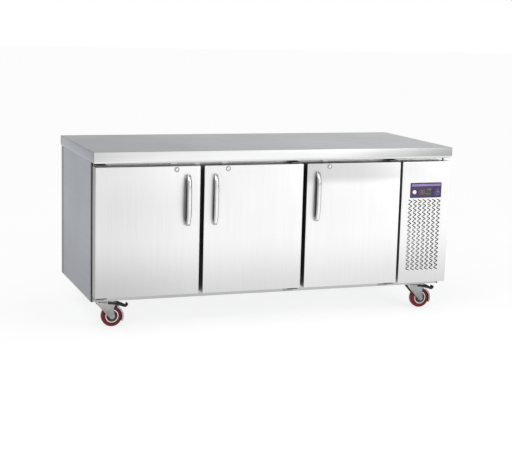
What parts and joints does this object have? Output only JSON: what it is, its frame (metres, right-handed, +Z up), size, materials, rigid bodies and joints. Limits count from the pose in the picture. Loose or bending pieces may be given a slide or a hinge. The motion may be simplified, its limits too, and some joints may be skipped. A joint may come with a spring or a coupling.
{
  "type": "reach in refrigerator",
  "caption": "Undercounter reach-in refrigerator with a stainless worktop, hinged insulated doors, a condensing unit behind a slotted panel at one end, and swivel casters.",
  "frame": {"origin": "on the floor, under the middle of the overall box", "axes": "+Z up, the doors face -Y, +X towards the machine compartment at the right of the doors"},
  "size_m": [1.8, 0.798, 0.83],
  "materials": {
    "worktop": "brushed satin stainless steel",
    "left_side_panel": "brushed satin stainless steel",
    "right_side_panel": "brushed satin stainless steel",
    "back_panel": "brushed satin stainless steel",
    "front_frame": "brushed satin stainless steel",
    "control_panel": "brushed satin stainless steel",
    "door_skin_1": "brushed satin stainless steel",
    "hinge_top_1": "brushed satin stainless steel",
    "hinge_bottom_1": "brushed satin stainless steel",
    "door_core_1": "smooth inner door lining over foam",
    "gasket_1": "matt black magnetic seal",
    "handle_1": "polished bow on a black backplate",
    "lock_1": "polished",
    "wire_shelf_1": "plastic-coated bars",
    "door_skin_2": "brushed satin stainless steel",
    "hinge_top_2": "brushed satin stainless steel",
    "hinge_bottom_2": "brushed satin stainless steel",
    "door_core_2": "smooth inner door lining over foam",
    "gasket_2": "matt black magnetic seal",
    "handle_2": "polished bow on a black backplate",
    "lock_2": "polished",
    "wire_shelf_2": "plastic-coated bars",
    "door_skin_3": "brushed satin stainless steel",
    "hinge_top_3": "brushed satin stainless steel",
    "hinge_bottom_3": "brushed satin stainless steel",
    "door_core_3": "smooth inner door lining over foam",
    "gasket_3": "matt black magnetic seal",
    "handle_3": "polished bow on a black backplate",
    "lock_3": "polished",
    "wire_shelf_3": "plastic-coated bars",
    "worktop_core": "honeycomb board",
    "insulation": "rigid foam",
    "base_panel": "galvanised sheet",
    "inner_liner": "satin sheet",
    "controller_bezel": "dark purple-grey moulding",
    "display_window": "dark glossy window",
    "power_button": "pale lilac, glossy",
    "temperature_knob": "deep purple, glossy",
    "compressor": "black enamel",
    "condenser": "plain fins",
    "fan_shroud": "black moulding",
    "condenser_fan": "pressed blades",
    "evaporator_cover": "satin sheet",
    "evaporator_coil": "plain fins",
    "evaporator_fan": "black moulding",
    "power_inlet": "black moulding",
    "caster_plate_front_left": "zinc plated",
    "caster_fork_front_left": "zinc plated",
    "wheel_front_left": "dark red elastic tread on a grey hub",
    "caster_plate_front_right": "zinc plated",
    "caster_fork_front_right": "zinc plated",
    "wheel_front_right": "dark red elastic tread on a grey hub",
    "caster_plate_rear_left": "zinc plated",
    "caster_fork_rear_left": "zinc plated",
    "wheel_rear_left": "dark red elastic tread on a grey hub",
    "caster_plate_rear_right": "zinc plated",
    "caster_fork_rear_right": "zinc plated",
    "wheel_rear_right": "dark red elastic tread on a grey hub",
    "brake_pedal_front_left": "black",
    "brake_pedal_front_right": "black"
  },
  "bodies": {
    "cabinet": {"worktop": "worktop", "left_side_panel": "left_side_panel", "right_side_panel": "right_side_panel", "back_panel": "back_panel", "front_frame": "front_frame", "control_panel": "control_panel", "hinge_top_1": "hinge_top_1", "hinge_bottom_1": "hinge_bottom_1", "wire_shelf_1": "wire_shelf_1", "hinge_top_2": "hinge_top_2", "hinge_bottom_2": "hinge_bottom_2", "wire_shelf_2": "wire_shelf_2", "hinge_top_3": "hinge_top_3", "hinge_bottom_3": "hinge_bottom_3", "wire_shelf_3": "wire_shelf_3", "worktop_core": "worktop_core", "insulation": "insulation", "base_panel": "base_panel", "inner_liner": "inner_liner", "controller_bezel": "controller_bezel", "display_window": "display_window", "compressor": "compressor", "condenser": "condenser", "fan_shroud": "fan_shroud", "evaporator_cover": "evaporator_cover", "evaporator_coil": "evaporator_coil", "power_inlet": "power_inlet", "caster_plate_front_left": "caster_plate_front_left", "caster_plate_front_right": "caster_plate_front_right", "caster_plate_rear_left": "caster_plate_rear_left", "caster_plate_rear_right": "caster_plate_rear_right"},
    "door_1": {"door_skin_1": "door_skin_1", "door_core_1": "door_core_1", "gasket_1": "gasket_1", "handle_1": "handle_1"},
    "lock_1": {"lock_1": "lock_1"},
    "door_2": {"door_skin_2": "door_skin_2", "door_core_2": "door_core_2", "gasket_2": "gasket_2", "handle_2": "handle_2"},
    "lock_2": {"lock_2": "lock_2"},
    "door_3": {"door_skin_3": "door_skin_3", "door_core_3": "door_core_3", "gasket_3": "gasket_3", "handle_3": "handle_3"},
    "lock_3": {"lock_3": "lock_3"},
    "power_button": {"power_button": "power_button"},
    "temperature_knob": {"temperature_knob": "temperature_knob"},
    "condenser_fan": {"condenser_fan": "condenser_fan"},
    "evaporator_fan": {"evaporator_fan": "evaporator_fan"},
    "caster_front_left": {"caster_fork_front_left": "caster_fork_front_left"},
    "wheel_front_left": {"wheel_front_left": "wheel_front_left"},
    "brake_pedal_front_left": {"brake_pedal_front_left": "brake_pedal_front_left"},
    "caster_front_right": {"caster_fork_front_right": "caster_fork_front_right"},
    "wheel_front_right": {"wheel_front_right": "wheel_front_right"},
    "brake_pedal_front_right": {"brake_pedal_front_right": "brake_pedal_front_right"},
    "caster_rear_left": {"caster_fork_rear_left": "caster_fork_rear_left"},
    "wheel_rear_left": {"wheel_rear_left": "wheel_rear_left"},
    "caster_rear_right": {"caster_fork_rear_right": "caster_fork_rear_right"},
    "wheel_rear_right": {"wheel_rear_right": "wheel_rear_right"}
  },
  "joints": [
    {"name": "door_1_hinge", "type": "hinge", "parent": "cabinet", "child": "door_1", "pos_m": [-0.8715, -0.339, 0.4615], "axis": [0, 0, -1], "range_deg": [0, 110]},
    {"name": "lock_1_turn", "type": "hinge", "parent": "door_1", "child": "lock_1", "pos_m": [-0.514, -0.359, 0.7465], "axis": [0, -1, 0], "range_deg": [0, 90]},
    {"name": "door_2_hinge", "type": "hinge", "parent": "cabinet", "child": "door_2", "pos_m": [0.091, -0.339, 0.4615], "axis": [0, 0, 1], "range_deg": [0, 110]},
    {"name": "lock_2_turn", "type": "hinge", "parent": "door_2", "child": "lock_2", "pos_m": [-0.2665, -0.359, 0.7465], "axis": [0, -1, 0], "range_deg": [0, 90]},
    {"name": "door_3_hinge", "type": "hinge", "parent": "cabinet", "child": "door_3", "pos_m": [0.602, -0.339, 0.4615], "axis": [0, 0, 1], "range_deg": [0, 110]},
    {"name": "lock_3_turn", "type": "hinge", "parent": "door_3", "child": "lock_3", "pos_m": [0.2445, -0.359, 0.7465], "axis": [0, -1, 0], "range_deg": [0, 90]},
    {"name": "power_button_press", "type": "slide", "parent": "cabinet", "child": "power_button", "axis": [0, 1, 0], "range_m": [0, 0.003], "stiffness_N_per_m": 200, "springref_m": -0.002},
    {"name": "temperature_knob_turn", "type": "hinge", "parent": "cabinet", "child": "temperature_knob", "pos_m": [0.82225, -0.3615, 0.609], "axis": [0, 1, 0], "range_deg": [0, 300]},
    {"name": "condenser_fan_spin", "type": "hinge", "parent": "cabinet", "child": "condenser_fan", "pos_m": [0.7635, -0.1727, 0.2723], "axis": [0, 1, 0], "continuous": true},
    {"name": "evaporator_fan_spin", "type": "hinge", "parent": "cabinet", "child": "evaporator_fan", "pos_m": [0.5132, 0.0563, 0.54], "axis": [1, 0, 0], "continuous": true},
    {"name": "caster_front_left_swivel", "type": "hinge", "parent": "cabinet", "child": "caster_front_left", "pos_m": [-0.8255, -0.239, 0.13], "axis": [0, 0, 1], "continuous": true},
    {"name": "wheel_front_left_spin", "type": "hinge", "parent": "caster_front_left", "child": "wheel_front_left", "pos_m": [-0.7875, -0.239, 0.05], "axis": [0, 1, 0], "continuous": true},
    {"name": "brake_pedal_front_left_press", "type": "hinge", "parent": "caster_front_left", "child": "brake_pedal_front_left", "pos_m": [-0.7755, -0.239, 0.1125], "axis": [0, 1, 0], "range_deg": [0, 10]},
    {"name": "caster_front_right_swivel", "type": "hinge", "parent": "cabinet", "child": "caster_front_right", "pos_m": [0.779, -0.239, 0.13], "axis": [0, 0, 1], "continuous": true},
    {"name": "wheel_front_right_spin", "type": "hinge", "parent": "caster_front_right", "child": "wheel_front_right", "pos_m": [0.817, -0.239, 0.05], "axis": [0, 1, 0], "continuous": true},
    {"name": "brake_pedal_front_right_press", "type": "hinge", "parent": "caster_front_right", "child": "brake_pedal_front_right", "pos_m": [0.829, -0.239, 0.1125], "axis": [0, 1, 0], "range_deg": [0, 10]},
    {"name": "caster_rear_left_swivel", "type": "hinge", "parent": "cabinet", "child": "caster_rear_left", "pos_m": [-0.779, 0.339, 0.13], "axis": [0, 0, 1], "continuous": true},
    {"name": "wheel_rear_left_spin", "type": "hinge", "parent": "caster_rear_left", "child": "wheel_rear_left", "pos_m": [-0.741, 0.339, 0.05], "axis": [0, 1, 0], "continuous": true},
    {"name": "caster_rear_right_swivel", "type": "hinge", "parent": "cabinet", "child": "caster_rear_right", "pos_m": [0.779, 0.339, 0.13], "axis": [0, 0, 1], "continuous": true},
    {"name": "wheel_rear_right_spin", "type": "hinge", "parent": "caster_rear_right", "child": "wheel_rear_right", "pos_m": [0.817, 0.339, 0.05], "axis": [0, 1, 0], "continuous": true}
  ]
}
